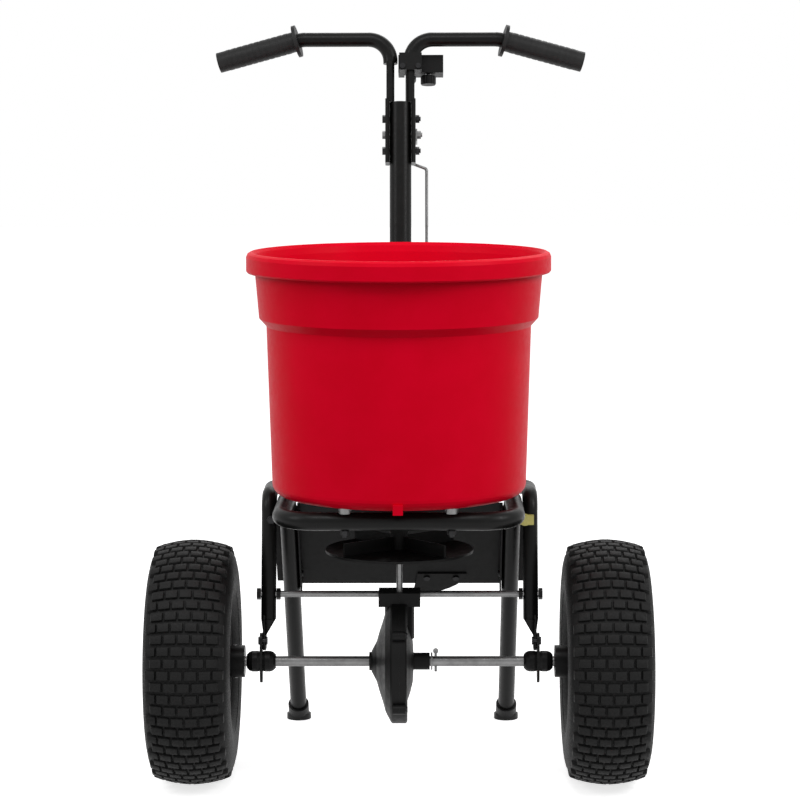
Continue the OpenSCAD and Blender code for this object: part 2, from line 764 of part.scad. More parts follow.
module handlebar() {
    leaning() difference() {
        union() {
            difference() {
                bent_bar(bar_path, bar_bend, bar_r);
                bent_bar(bar_bore, bar_bend, bar_r - tube_wall);
            }
            flat_end(flat_x, flat_t, flat_w, 1, bar_rise - bar_bend - 2);
            flat_end(upright_r + clamp_t / 2 + 0.1, clamp_t, flat_w + 2, clamp_low, 4);
        }
        for (z = [bolt_hi, bolt_lo, -43]) bar_x(0, 60, 3 + gap, 0, z);
    }
}

module handlebar_left() {
    color(black) place() mirror_left() handlebar();
}

module handlebar_right() {
    color(black) place() handlebar();
}

grip_dir = unit(bar_path[3] - bar_path[2]);
grip_len = norm(bar_path[3] - bar_path[2]);

module grip() {
    leaning() aim(bar_path[2], grip_dir) difference() {
        union() {
            translate([0, 0, 5]) cylinder(h = 4.5, r = 21.5);
            translate([0, 0, 8]) cylinder(h = grip_len - 4, r = grip_r);
            for (z = [18 : 8 : 98]) translate([0, 0, z]) cylinder(h = 5, r = grip_r + 0.35);
        }
        translate([0, 0, 4]) cylinder(h = grip_len - 3.9, r = bar_r + 0.2);
    }
}

module grip_left() {
    color(rubber) place() mirror_left() grip();
}

module grip_right() {
    color(rubber) place() grip();
}

module handle_bolts() {
    x = upright_r + clamp_t + 0.2;
    color(dark_steel) place() leaning() for (z = [bolt_hi, bolt_lo]) bolt_x(-x, x, 3, 0, z);
}

// Long bolt whose bracket steadies the control rod
module rod_guide() {
    x = upright_r + clamp_t + 0.2;
    color(plated) place() leaning() {
        bolt_x(-x, x + 2.05, 3, 0, -43);
        difference() {
            union() {
                block(x, x + 2, -7, rod_back + 6, -52, -36);
                block(rod_hi_x - 6, x + 2, upright_r + 0.4, rod_back + 6, -52, -49);
            }
            translate([rod_hi_x, rod_back, -60]) cylinder(h = 30, r = rod_r + fit);
            block(rod_hi_x - rod_r - fit, rod_hi_x + rod_r + fit, 10, rod_back, -60, -40);
        }
    }
}

// ---- gauge with the rate lever ----

house_x0 = -3;
house_x1 = 57;
house_y0 = flat_w / 2 + 1;
house_y1 = 46;
house_z0 = 44;
house_z1 = 68;

clamp_half = 15;
clamp_mid = flat_t / 2 + 4.8;
clamp_screw_x = [flat_x - clamp_mid - 0.4, flat_x + clamp_mid + 0.4];
clamp_screw_z = 47;
pivot_end = 29;

module gauge_housing() {
    color(black) place() leaning() difference() {
        block(house_x0, house_x1, house_y0, house_y1, house_z0, house_z1);
        block(rod_hi_x - 3.5, rod_x + 6, house_y0 - 1, house_y1 + 1, house_z0 - 1, house_z1 - 3);
        bar_x(house_x0 + 2, pivot_end + 0.2, 3 + fit, lever_y, lever_pivot_z);
        block(stop_x - 6.3, stop_x + 6.3, stop_y0, house_y1 + 1, house_z0 + 4, house_z0 + 11);
        block(stop_x - 3.3, stop_x + 3.3, stop_y0 + 3, house_y1 + 1, house_z0 - 1, house_z0 + 5);
        for (x = clamp_screw_x) bar_y(0, house_y0 + 7, 2.02, x, clamp_screw_z);
    }
}

// Sliding rate stop: its knob is loosened, moved along the slot and tightened
stop_x = 37;
stop_y0 = 20;
stop_travel = 12;

module rate_stop() {
    color(plated) place() leaning() {
        block(stop_x - 6, stop_x + 6, stop_y0 + 1, stop_y0 + 11, house_z0 + 4.3, house_z0 + 10.5);
        translate([stop_x, stop_y0 + 6.5, house_z0 - 10]) cylinder(h = 15, r = 3);
    }
}

module stop_knob() {
    color(black) place() leaning() translate([stop_x, stop_y0 + 6.5, house_z0 - 14]) difference() {
        union() {
            cylinder(h = 12, r = 9.5);
            for (a = [0 : 60 : 300]) rotate([0, 0, a]) translate([8.6, 0, 1]) cylinder(h = 10, r = 1.6);
        }
        translate([0, 0, 3.9]) cylinder(h = 10, r = 3.02);
    }
}

// Strap in front of the flattened bar, screwed back to the housing
module gauge_clamp() {
    y = -flat_w / 2 - 0.1;
    color(black) place() leaning() difference() {
        union() {
            block(flat_x - clamp_half, flat_x + clamp_half, y - 4, y, house_z0 - 2, house_z1 - 3);
            for (s = [-1, 1]) block(flat_x + s * clamp_mid - 4.7, flat_x + s * clamp_mid + 4.7,
                y - 1, house_y0 - 0.1, house_z0 - 2, house_z0 + 8.4);
        }
        for (x = clamp_screw_x) bar_y(-30, 30, 2 + gap, x, clamp_screw_z);
    }
}

module gauge_screws() {
    y = -flat_w / 2 - 4.1;
    color(dark_steel) place() leaning() for (x = clamp_screw_x) {
        bar_y(y - 2.2, y - 0.05, 3.6, x, clamp_screw_z);
        bar_y(y - 1, house_y0 + 6.5, 2, x, clamp_screw_z);
    }
}

handle_tilt = 12;

module lever_shape() {
    difference() {
        union() {
            bar_x(-3.5, 3.5, 8);
            block(-1.5, 1.5, -lever_arm - 3.5, 0, -6, 6);
            rotate([handle_tilt, 0, 0]) block(-1.5, 1.5, 0, 20, -4, 4);
        }
        block(-5, 5, -lever_arm - 8, -lever_arm + 6, -rod_r - 1, rod_r + 1);
    }
    bar_x(-13.5, pivot_end - rod_x, 3);
}

module gate_lever() {
    color(plated) place() leaning() translate([rod_x, lever_y, lever_pivot_z])
        rotate([-lever_half, 0, 0]) lever_shape();
}

module lever_knob() {
    color(black) place() leaning() translate([rod_x, lever_y, lever_pivot_z]) rotate([-lever_half, 0, 0])
        rotate([handle_tilt, 0, 0]) difference() {
            bar_y(14, 24.2, 6.5);
            block(-1.55, 1.55, 10, 20.1, -4.05, 4.05);
        }
}

// Control rod in the leaning frame: hooked top, jog, hooked foot
rod_top_z = lever_pivot_z + rod_travel / 2;
rod_foot_z = (rod_pin_z - upright_top) / cos(lean) + rod_back * lean_slope + rod_travel / 2;
jog_z = -76;

module control_rod() {
    color(plated) place() leaning() bent_bar([[rod_x + 4, rod_back, rod_top_z],
        [rod_hi_x, rod_back, rod_top_z], [rod_hi_x, rod_back, jog_z],
        [rod_foot_x, rod_back, jog_z - 10], [rod_foot_x, rod_back, rod_foot_z],
        [rod_low_x - 6, rod_back, rod_foot_z]], 4, rod_r, 0.8, 0.12);
}

// ---- drive axle ----

hub_r = 20;
hub_in = plate_x + 20.5;
hub_out = tyre_x + 42;

module axle() {
    color(plated) place() difference() {
        bar_x(-hub_out - 10, hub_out + 10, axle_r, 0, axle_z);
        for (p = pin_at) translate([p[0], 0, axle_z - 20]) cylinder(h = 40, r = p[1] + 0.05);
        bar_y(-20, 20, 2.55, -26, axle_z);
    }
}

// x and radius of every pin across the axle
pin_at = [[45, 1.6], [-hub_out - 6, 1.6], [hub_out + 6, 1.6], [-hub_in - 12, 2.5]];

module axle_pins() {
    color(plated) place() {
        for (p = [pin_at[0], pin_at[1], pin_at[2]]) translate([p[0], 0, axle_z - 13]) {
            cylinder(h = 26, r = p[1]);
            translate([0, 0, 26]) rotate([90, 0, 0]) translate([0, 0, -1.2]) cylinder(h = 2.4, r = 3.4);
        }
        translate([pin_at[3][0], 0, axle_z - hub_r - 1]) cylinder(h = 2 * hub_r + 2, r = pin_at[3][1]);
        bar_y(-14.5, 14.5, 2.5, -26, axle_z);
    }
}

module axle_washers() {
    color(plated) place() for (x = [39, hub_out + 1, -hub_out - 3]) difference() {
        bar_x(x, x + 2, 11, 0, axle_z);
        bar_x(x - 1, x + 3, axle_r + 0.05, 0, axle_z);
    }
}

// Crown gear, teeth facing +X
module ring_gear() {
    color(black) place() translate([0, 0, axle_z]) difference() {
        union() {
            bar_x(-15.6, -pinion_r - dedendum, ring_r + tooth_face / 2 + 1);
            bar_x(-29, -pinion_r - dedendum, 14);
            for (i = [0 : ring_teeth - 1]) rotate([i * 360 / ring_teeth, 0, 0])
                block(-pinion_r - dedendum - eps, -pinion_r + addendum, -tooth_w / 2, tooth_w / 2,
                    ring_r - tooth_face / 2, ring_r + tooth_face / 2);
        }
        bar_x(-40, 0, axle_r + 0.02);
        bar_y(-20, 20, 2.55, -26, 0);
        for (i = [0 : 5]) rotate([i * 60 + 30, 0, 0]) bar_x(-20, 0, 8, 0, 30);
    }
}

// ---- wheels ----

bead_r = wheel_r - 84;
side_half = tyre_w / 2;

// Outer half profile from bead to crown: [radius, x]
tyre_half = [[bead_r, side_half * 0.66], [bead_r + 6, side_half * 0.82], [bead_r + 16, side_half * 0.94],
    [bead_r + 28, side_half * 0.99], [bead_r + 44, side_half], [bead_r + 60, side_half * 0.965],
    [wheel_r - 12, side_half * 0.92], [wheel_r - 10, side_half * 0.89], [wheel_r - 6, side_half * 0.7],
    [wheel_r - 2, side_half * 0.35], [wheel_r, side_half * 0.1]];
tyre_half_in = [[bead_r + 3, side_half * 0.5], [bead_r + 8, side_half * 0.68], [bead_r + 18, side_half * 0.8],
    [bead_r + 28, side_half * 0.85], [bead_r + 44, side_half * 0.87], [bead_r + 58, side_half * 0.84],
    [wheel_r - 21, side_half * 0.78], [wheel_r - 15, side_half * 0.55], [wheel_r - 12, 0]];

tread_grooves = [-0.42, -0.14, 0.14, 0.42];

function mirrored(p) = [for (i = [len(p) - 1 : -1 : 0]) [p[i][0], -p[i][1]]];

module tyre(x) {
    color(rubber) place() translate([x, 0, axle_z]) difference() {
        revolve_x(concat(tyre_half, mirrored(tyre_half)));
        revolve_x(concat([[bead_r - 1, side_half * 0.5]], tyre_half_in, mirrored(tyre_half_in),
            [[bead_r - 1, -side_half * 0.5]]));
        for (g = tread_grooves) translate([g * side_half, 0, 0]) difference() {
            bar_x(-1.5, 1.5, wheel_r + 1);
            bar_x(-2, 2, wheel_r - 8);
        }
    }
}

module tyre_left() {
    tyre(-tyre_x);
}

module tyre_right() {
    tyre(tyre_x);
}

rim_w = side_half * 0.66;

// Pressed rim with its hub tube; the profile is [radius, x] with +x inboard
module wheel_rim(bore) {
    difference() {
        union() {
            revolve_x([[bead_r - 3, -rim_w - 7], [bead_r + 3, -rim_w - 7], [bead_r + 3, -rim_w - 5.2],
                [bead_r - 0.1, -rim_w - 0.2], [bead_r - 0.1, -12], [bead_r - 14, -8], [bead_r - 14, 8],
                [bead_r - 0.1, 12], [bead_r - 0.1, rim_w + 0.2], [bead_r + 3, rim_w + 5.2],
                [bead_r + 3, rim_w + 7], [bead_r - 3, rim_w + 7], [bead_r - 3, 13], [bead_r - 17, 9],
                [bead_r - 17, -9], [bead_r - 3, -13]]);
            bar_x(-1.5, 1.5, bead_r - 15);
            bar_x(-42, tyre_x - hub_in, hub_r);
        }
        bar_x(-80, 80, bore);
        for (a = [0 : 60 : 300]) rotate([a, 0, 0]) bar_x(-5, 5, 7, 0, 34);
        translate([0, 0, bead_r - 25]) rotate([20, 0, 0]) cylinder(h = 40, r = 4.2);
    }
}

module wheel_rim_left() {
    color(black) place() translate([-tyre_x, 0, axle_z]) difference() {
        wheel_rim(axle_r + 0.03);
        translate([tyre_x - hub_in - 12, 0, -40]) cylinder(h = 80, r = 2.55);
    }
}

module wheel_rim_right() {
    color(black) place() translate([tyre_x, 0, axle_z]) mirror_left() wheel_rim(axle_r + 3);
}

// Nylon bushes the free wheel turns on
module wheel_bushes() {
    color(rubber) place() for (x = [hub_in - 0.6, hub_out - 19.4]) difference() {
        bar_x(x, x + 20, axle_r + 2.95, 0, axle_z);
        bar_x(x - 1, x + 21, axle_r + fit, 0, axle_z);
    }
}

module valve(x) {
    color(rubber) place() translate([x, 0, axle_z]) {
        translate([0, 0, bead_r - 25]) rotate([20, 0, 0]) cylinder(h = 24, r = 4);
    }
}

module valve_left() {
    valve(-tyre_x);
}

module valve_right() {
    valve(tyre_x);
}

// ---- impeller ----

imp_r = impeller_d / 2;
boss_r = 11;

module impeller() {
    color(black) place() translate([0, 0, impeller_z]) difference() {
        union() {
            cylinder(h = 3, r = imp_r, $fn = 96);
            translate([0, 0, -14]) cylinder(h = 44, r = boss_r);
            for (i = [0 : 3]) rotate([0, 0, i * 90 + 40]) {
                block(8, imp_r - 4, -1.2, 1.2, 2, 19);
                block(8, 34, -1.2, 1.2, -12, 1);
            }
        }
        translate([0, 0, -30]) cylinder(h = 80, r = shaft_r + 0.02);
        bar_x(-20, 20, 1.55, 0, 24);
    }
}

module impeller_shaft() {
    color(plated) place() difference() {
        translate([0, 0, shaft_low]) cylinder(h = hopper_floor + 34 - shaft_low, r = shaft_r);
        bar_x(-20, 20, 1.55, 0, impeller_z + 24);
        bar_x(-20, 20, 1.55, 0, hopper_floor + 26);
    }
}

module pinion() {
    color(plated) place() translate([0, 0, axle_z + ring_r - tooth_face / 2 - 1]) difference() {
        union() {
            cylinder(h = tooth_face + 2, r = pinion_r - dedendum);
            for (i = [0 : pinion_teeth - 1]) rotate([0, 0, (i + 0.5) * 360 / pinion_teeth])
                block(pinion_r - dedendum - 2, pinion_r + addendum, -tooth_w / 2, tooth_w / 2,
                    0.5, tooth_face + 1.5);
        }
        translate([0, 0, -5]) cylinder(h = 30, r = shaft_r + 0.02);
    }
}

// Spring pin through the impeller and the bent agitator pin in the hopper
module agitator() {
    color(plated) place() {
        bar_x(-boss_r - 1, boss_r + 1, 1.5, 0, impeller_z + 24);
        bent_bar([[-30, 0, hopper_floor + 14], [-30, 0, hopper_floor + 26], [30, 0, hopper_floor + 26],
            [30, 0, hopper_floor + 38]], 4, 1.5, 0.5, 0.12);
    }
}

// ---- gate linkage at the floor ----

module gate_crank() {
    color(plated) place() translate([rod_low_x, crank_y, crank_z]) rotate([crank_half, 0, 0]) {
        difference() {
            union() {
                bar_x(-4, 0, 9);
                rotate([-lean, 0, 0]) block(-3, 0, 0, crank_arm + 6, -6, 6);
                block(-3, 0, -6, 6, 0, gate_arm + 6);
            }
            rotate([-lean, 0, 0]) block(-5, 5, crank_arm - 5, crank_arm + 9, -rod_r - 0.7, rod_r + 0.7);
            block(-5, 5, -rod_r - 0.7, rod_r + 0.7, gate_arm - 5, gate_arm + 9);
        }
        bar_x(-13, -3.5, 4);
        bar_x(-14.5, -10.5, 6);
    }
}

module gate_plate() {
    y_pin = crank_y - gate_travel / 2;
    color(plated) place() difference() {
        union() {
            block(-gate_w / 2, gate_w / 2, guide_front + 4, 96, gate_z, gate_z + gate_t);
            block(rod_low_x - 8, rod_low_x + 8, 80, y_pin + 5, gate_z, gate_z + gate_t);
            block(rod_low_x + 2, rod_low_x + 4.4, y_pin - 5, y_pin + 5, crank_z + gate_arm - 6, gate_z + 1);
            bar_x(rod_low_x - 5, rod_low_x + 3, rod_r, y_pin, crank_z + gate_arm);
        }
        for (i = [-1 : 1]) translate([i * outlet_pitch, outlet_y - gate_travel, gate_z - 1])
            cylinder(h = 10, d = outlet_d);
        block(-7, 7, -gate_travel - 7, 7, gate_z - 1, gate_z + 5);
    }
}

leg_frame();
foot_left();
foot_right();
side_tube_left();
side_tube_right();
axle_plate_left();
axle_plate_right();
axle_bearing_left();
axle_bearing_right();
plate_rivets();
side_brackets();
side_bolts();
thumb_nut();
gearbox_hanger();
hanger_nuts();
gearbox_left();
gearbox_right();
gearbox_screws();
hopper();
hopper_spacers();
hopper_bolts();
hopper_bracket();
shaft_bush();
gate_guide();
deflector_shield();
spread_baffle();
small_screws();
upright();
upright_bolts();
handlebar_left();
handlebar_right();
grip_left();
grip_right();
handle_bolts();
rod_guide();
gauge_housing();
gauge_clamp();
gauge_screws();
axle();
ring_gear();
axle_washers();
axle_pins();
wheel_rim_left();
tyre_left();
valve_left();
wheel_rim_right();
tyre_right();
valve_right();
wheel_bushes();
impeller();
impeller_shaft();
pinion();
agitator();
gate_lever();
lever_knob();
control_rod();
gate_crank();
gate_plate();
rate_stop();
stop_knob();
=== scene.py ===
# Looks of the garden spreader: paint for every part, turf tyres with tread blocks, a white
# floor and room, four lamps and the front camera. Lengths are in metres.

import json
import math

import bmesh
import bpy
from mathutils import Matrix, Vector


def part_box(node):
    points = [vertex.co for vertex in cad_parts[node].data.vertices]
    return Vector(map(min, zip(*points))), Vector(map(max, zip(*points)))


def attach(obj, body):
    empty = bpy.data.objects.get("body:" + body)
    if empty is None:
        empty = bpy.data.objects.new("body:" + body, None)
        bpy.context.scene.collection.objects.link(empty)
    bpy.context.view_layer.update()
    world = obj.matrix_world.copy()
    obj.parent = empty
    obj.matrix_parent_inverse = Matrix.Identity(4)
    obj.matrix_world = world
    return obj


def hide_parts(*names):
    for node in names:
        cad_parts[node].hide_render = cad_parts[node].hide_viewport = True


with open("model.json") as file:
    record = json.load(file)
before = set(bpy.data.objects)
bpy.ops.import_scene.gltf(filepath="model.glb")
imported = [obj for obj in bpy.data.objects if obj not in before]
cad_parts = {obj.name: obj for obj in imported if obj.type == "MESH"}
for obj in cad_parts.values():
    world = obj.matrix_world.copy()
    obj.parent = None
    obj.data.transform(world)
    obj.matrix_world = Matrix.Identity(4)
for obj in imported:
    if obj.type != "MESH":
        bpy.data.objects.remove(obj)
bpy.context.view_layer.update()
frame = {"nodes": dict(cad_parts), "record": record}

AXLE_LOW, AXLE_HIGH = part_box("axle")
AXLE = (AXLE_LOW + AXLE_HIGH) / 2
WHITE = (1, 1, 1, 1)

# Sockets of the Mix node when it mixes colours
MIX_FACTOR, MIX_A, MIX_B, MIX_RESULT = 0, 6, 7, 2


# ---------------------------------------------------------------- materials

ZINC_DULLING = 0.78
# The darkest tyre tone is painted shade for the grooves between the lugs and down the sidewall
GROOVE_PAINTED_SHADE = (0.0045, 0.0045, 0.0045)
LUG_TONE = (0.0095, 0.0095, 0.0095)
DUST_TONE = (0.017, 0.017, 0.0165)


def new_material(name):
    material = bpy.data.materials.new(name)
    material.use_nodes = True
    tree = material.node_tree
    return material, tree, tree.nodes["Principled BSDF"]


def node(tree, kind, **values):
    made = tree.nodes.new(kind)
    for key, value in values.items():
        if key in made.inputs:
            made.inputs[key].default_value = value
        else:
            setattr(made, key, value)
    return made


def object_noise(tree, scale, detail=3.0, roughness=0.55):
    """Noise in the object's own coordinates; scale is in features per metre."""
    place = node(tree, "ShaderNodeTexCoord")
    noise = node(tree, "ShaderNodeTexNoise", Scale=scale, Detail=detail, Roughness=roughness)
    tree.links.new(place.outputs["Object"], noise.inputs["Vector"])
    return noise.outputs["Fac"]


def graded(tree, value, low, high, start=0.35, end=0.65):
    """Maps start..end of a value onto low..high, and holds it there outside that."""
    ramp = node(tree, "ShaderNodeMapRange")
    ramp.inputs["From Min"].default_value = start
    ramp.inputs["From Max"].default_value = end
    ramp.inputs["To Min"].default_value = low
    ramp.inputs["To Max"].default_value = high
    tree.links.new(value, ramp.inputs["Value"])
    return ramp.outputs["Result"]


def blended(tree, value, first, second):
    """Colour that runs from first to second as value goes 0 to 1."""
    mix = node(tree, "ShaderNodeMix", data_type="RGBA")
    mix.inputs[MIX_A].default_value = (*first, 1)
    mix.inputs[MIX_B].default_value = (*second, 1)
    tree.links.new(value, mix.inputs[MIX_FACTOR])
    return mix.outputs[MIX_RESULT]


def add_bump(tree, shader, height, distance, strength):
    bump = node(tree, "ShaderNodeBump", Strength=strength, Distance=distance)
    tree.links.new(height, bump.inputs["Height"])
    tree.links.new(bump.outputs["Normal"], shader.inputs["Normal"])


def moulded_plastic(name, colour, faded, rough, shine, grain=1400, depth=0.00012):
    """Moulded plastic: slow drift of colour, uneven sheen and a fine grain."""
    material, tree, shader = new_material(name)
    cloud = graded(tree, object_noise(tree, 22, 4), 0, 1)
    tree.links.new(blended(tree, cloud, colour, faded), shader.inputs["Base Color"])
    scuff = graded(tree, object_noise(tree, 130, 5, 0.65), rough[0], rough[1])
    tree.links.new(scuff, shader.inputs["Roughness"])
    shader.inputs["Specular IOR Level"].default_value = shine
    add_bump(tree, shader, object_noise(tree, grain, 2), depth, 0.6)
    return material


def powder_coat(name, colour, worn):
    """Black powder coat: orange-peel surface with faint paler wear."""
    material, tree, shader = new_material(name)
    wear = graded(tree, object_noise(tree, 60, 6, 0.7), 0, 1, 0.5, 0.75)
    tree.links.new(blended(tree, wear, colour, worn), shader.inputs["Base Color"])
    tree.links.new(graded(tree, object_noise(tree, 240, 3), 0.28, 0.42), shader.inputs["Roughness"])
    shader.inputs["Specular IOR Level"].default_value = 0.13
    add_bump(tree, shader, object_noise(tree, 900, 1), 0.00015, 0.5)
    return material


def zinc_plate(name, colour):
    """Plated steel with duller patches."""
    material, tree, shader = new_material(name)
    patch = graded(tree, object_noise(tree, 90, 5, 0.6), 0, 1)
    dull = tuple(c * ZINC_DULLING for c in colour)
    tree.links.new(blended(tree, patch, colour, dull), shader.inputs["Base Color"])
    shader.inputs["Metallic"].default_value = 1.0
    tree.links.new(graded(tree, object_noise(tree, 300, 4), 0.3, 0.5), shader.inputs["Roughness"])
    add_bump(tree, shader, object_noise(tree, 2200, 2), 0.00005, 0.5)
    return material


def soft_rubber(name, colour, bloom):
    """Matt rubber with a pale bloom."""
    material, tree, shader = new_material(name)
    cloud = graded(tree, object_noise(tree, 70, 5, 0.65), 0, 1, 0.4, 0.75)
    tree.links.new(blended(tree, cloud, colour, bloom), shader.inputs["Base Color"])
    tree.links.new(graded(tree, object_noise(tree, 400, 3), 0.42, 0.56), shader.inputs["Roughness"])
    shader.inputs["Specular IOR Level"].default_value = 0.22
    add_bump(tree, shader, object_noise(tree, 1800, 2), 0.0001, 0.6)
    return material


def tyre_rubber(name, crown_radius):
    """Tyre rubber: paler on the tops of the lugs, darker in the grooves and towards the bead as
    painted shade, with some dust.
    """
    material, tree, shader = new_material(name)
    place = node(tree, "ShaderNodeTexCoord")
    centred = node(tree, "ShaderNodeVectorMath", operation="SUBTRACT")
    centred.inputs[1].default_value = (0, AXLE.y, AXLE.z)
    tree.links.new(place.outputs["Object"], centred.inputs[0])
    flat = node(tree, "ShaderNodeVectorMath", operation="MULTIPLY")
    flat.inputs[1].default_value = (0, 1, 1)
    tree.links.new(centred.outputs[0], flat.inputs[0])
    radius = node(tree, "ShaderNodeVectorMath", operation="LENGTH")
    tree.links.new(flat.outputs[0], radius.inputs[0])
    # Painted shade: the rubber darkens from the lug tops into the grooves and down the sidewall
    # towards the bead
    top = graded(tree, radius.outputs["Value"], 0, 1, crown_radius - 0.011, crown_radius - 0.003)
    tread_tone_with_painted_shade = blended(tree, top, GROOVE_PAINTED_SHADE, LUG_TONE)
    dust = graded(tree, object_noise(tree, 55, 6, 0.7), 0, 0.5, 0.5, 0.8)
    mix = node(tree, "ShaderNodeMix", data_type="RGBA")
    mix.inputs[MIX_B].default_value = (*DUST_TONE, 1)
    tree.links.new(dust, mix.inputs[MIX_FACTOR])
    tree.links.new(tread_tone_with_painted_shade, mix.inputs[MIX_A])
    tree.links.new(mix.outputs[MIX_RESULT], shader.inputs["Base Color"])
    tree.links.new(graded(tree, object_noise(tree, 500, 3), 0.5, 0.72), shader.inputs["Roughness"])
    shader.inputs["Specular IOR Level"].default_value = 0.14
    add_bump(tree, shader, object_noise(tree, 1500, 2), 0.00012, 0.6)
    return material


RED = moulded_plastic(
    "red hopper plastic", (0.75, 0.0, 0.018), (0.71, 0.0, 0.015), (0.38, 0.48), 0.045,
    grain=900, depth=0.0001,
)
BLACK_MOULDED = moulded_plastic(
    "black moulded plastic", (0.004, 0.004, 0.004), (0.007, 0.007, 0.007), (0.4, 0.52), 0.12,
)
NYLON = moulded_plastic("black nylon", (0.003, 0.003, 0.003), (0.006, 0.006, 0.006), (0.35, 0.5), 0.12)
YELLOW = moulded_plastic("yellow plastic", (0.66, 0.6, 0.17), (0.58, 0.52, 0.14), (0.24, 0.32), 0.5)
POWDER = powder_coat("black powder coat", (0.004, 0.004, 0.0038), (0.007, 0.007, 0.0068))
ENAMEL = powder_coat("black wheel enamel", (0.004, 0.004, 0.004), (0.007, 0.007, 0.007))
ZINC = zinc_plate("zinc plate", (0.2, 0.2, 0.2))
BLACK_ZINC = zinc_plate("black zinc fasteners", (0.03, 0.03, 0.031))
GRIP = soft_rubber("grip rubber", (0.008, 0.008, 0.008), (0.015, 0.015, 0.015))
TYRE = tyre_rubber("tyre rubber with painted shade", AXLE.z)

# Material slot of the CAD part -> its material
PAINT = {
    "red_plastic": RED,
    "black_tube": POWDER,
    "plated_steel": ZINC,
    "black_steel": BLACK_ZINC,
    "black_plastic": BLACK_MOULDED,
    "grip_rubber": GRIP,
    "tyre_rubber": TYRE,
    "rim_paint": ENAMEL,
    "yellow_plastic": YELLOW,
    "nylon": NYLON,
}

for part in frame["record"]["subparts"]:
    mesh = frame["nodes"][part["node"]].data
    for i in range(len(mesh.materials)):
        mesh.materials[i] = PAINT[part["material_slot"]]


# ---------------------------------------------------------------- shared builders


def finish_piece(bm, name, material, body, smooth_angle):
    """Turns a bmesh into a smooth-shaded piece that rides on a CAD body."""
    bmesh.ops.recalc_face_normals(bm, faces=bm.faces)
    mesh = bpy.data.meshes.new(name)
    bm.to_mesh(mesh)
    bm.free()
    mesh.materials.append(material)
    piece = bpy.data.objects.new(name, mesh)
    bpy.context.scene.collection.objects.link(piece)
    mesh.shade_smooth()
    mesh.set_sharp_from_angle(angle=math.radians(smooth_angle))
    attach(piece, body)
    return piece


def spun(bm, points, centre, steps):
    """Closed ring turned about the X axis from (x, radius) points, relative to centre."""
    verts = [bm.verts.new(Vector((centre.x + x, centre.y, centre.z + r))) for x, r in points]
    edges = [bm.edges.new((verts[i], verts[(i + 1) % len(verts)])) for i in range(len(verts))]
    bmesh.ops.spin(
        bm, geom=verts + edges, cent=centre, axis=(1, 0, 0), dvec=(0, 0, 0),
        angle=math.tau, steps=steps, use_merge=True, use_normal_flip=False, use_duplicate=False,
    )


# ---------------------------------------------------------------- tyres with turf tread

# (distance from the tyre's middle, radius) over the tops of the lugs
CROWN = [(0.0, 0.1524), (0.018, 0.1508), (0.037, 0.1468), (0.0468, 0.1430), (0.0486, 0.1412)]
CARCASS_STEPS = 144
BAND_STEPS = 120
SHARP_ANGLE = 35

LUG_DEPTH = 0.0038
LUG_LENGTH = 0.0104
LUG_WIDTH = 0.0138
EDGE_LUG_WIDTH = 0.0118
EDGE_LUG_FROM = 0.04
LUG_BEVEL = 0.0008
LUG_BELOW_CROWN = 0.0002
LUG_SINK = 0.0012
LUG_ROOT_SPREAD = 1.12

# Rows of lugs alternate between these two, in distances from the tyre's middle
ROW_PAIRS = 32
PLAIN_ROW = (-0.0340, -0.0170, 0.0, 0.0170, 0.0340)
SHOULDER_ROW = (-0.0408, -0.0255, -0.0085, 0.0085, 0.0255, 0.0408)

# Raised rings on the sidewall: (distance from the tyre's middle, radius)
SIDE_BANDS = ((0.0525, 0.1120), (0.0510, 0.0900))
BAND_SINK, BAND_RISE = 0.0030, 0.0002
BAND_FOOT, BAND_TOP = 0.0022, 0.0014


def crown_radius(x):
    """Radius over the lugs at a distance x from the tyre's middle."""
    x = abs(x)
    for (x0, r0), (x1, r1) in zip(CROWN, CROWN[1:]):
        if x <= x1:
            return r0 + (r1 - r0) * (x - x0) / (x1 - x0)
    return CROWN[-1][1]


def carcass_section():
    """Tyre section from bead round the crown to bead, then back round the air space."""
    half = [(x, crown_radius(x) - LUG_DEPTH) for x in (0.0, 0.010, 0.020, 0.030, 0.040)]
    half += [(0.0462, 0.1372), (0.0498, 0.1315), (0.0516, 0.1240), (0.0526, 0.1150), (0.0527, 0.1060)]
    half += [(0.0522, 0.0965), (0.0502, 0.0870), (0.0468, 0.0800), (0.0430, 0.0744), (0.0352, 0.0688)]
    inner = [(0.0280, 0.0715), (0.0350, 0.0760), (0.0420, 0.0860), (0.0455, 0.1000), (0.0455, 0.1200)]
    inner += [(0.0420, 0.1300), (0.0300, 0.1355), (0.0, 0.1390)]
    outside = [(-x, r) for x, r in reversed(half[1:])] + half
    inside = inner + [(-x, r) for x, r in reversed(inner[:-1])]
    return outside + inside


def lug(bm, x, angle, width, length, centre):
    """One rubber block whose top follows the crown."""
    verts = bmesh.ops.create_cube(bm, size=1.0)["verts"]
    bmesh.ops.scale(bm, vec=(width, length, 1.0), verts=verts)
    edges = list({e for v in verts for e in v.link_edges})
    exposed = [e for e in edges if any(v.co.z > 0 for v in e.verts)]
    bevelled = bmesh.ops.bevel(
        bm, geom=exposed, offset=LUG_BEVEL, segments=2, profile=0.5, affect="EDGES", material=-1,
    )
    verts = list({v for f in bevelled["faces"] for v in f.verts} | {v for v in verts if v.is_valid})
    for v in verts:
        buried = v.co.z < 0
        spread = LUG_ROOT_SPREAD if buried else 1.0
        drop = LUG_DEPTH + LUG_SINK if buried else 0.5 - v.co.z
        across = x + v.co.x * spread
        radius = crown_radius(across) - LUG_BELOW_CROWN - drop
        v.co = Vector((centre.x + across, centre.y + v.co.y * spread, centre.z + radius))
    bmesh.ops.rotate(bm, verts=verts, cent=centre, matrix=Matrix.Rotation(angle, 3, "X"))


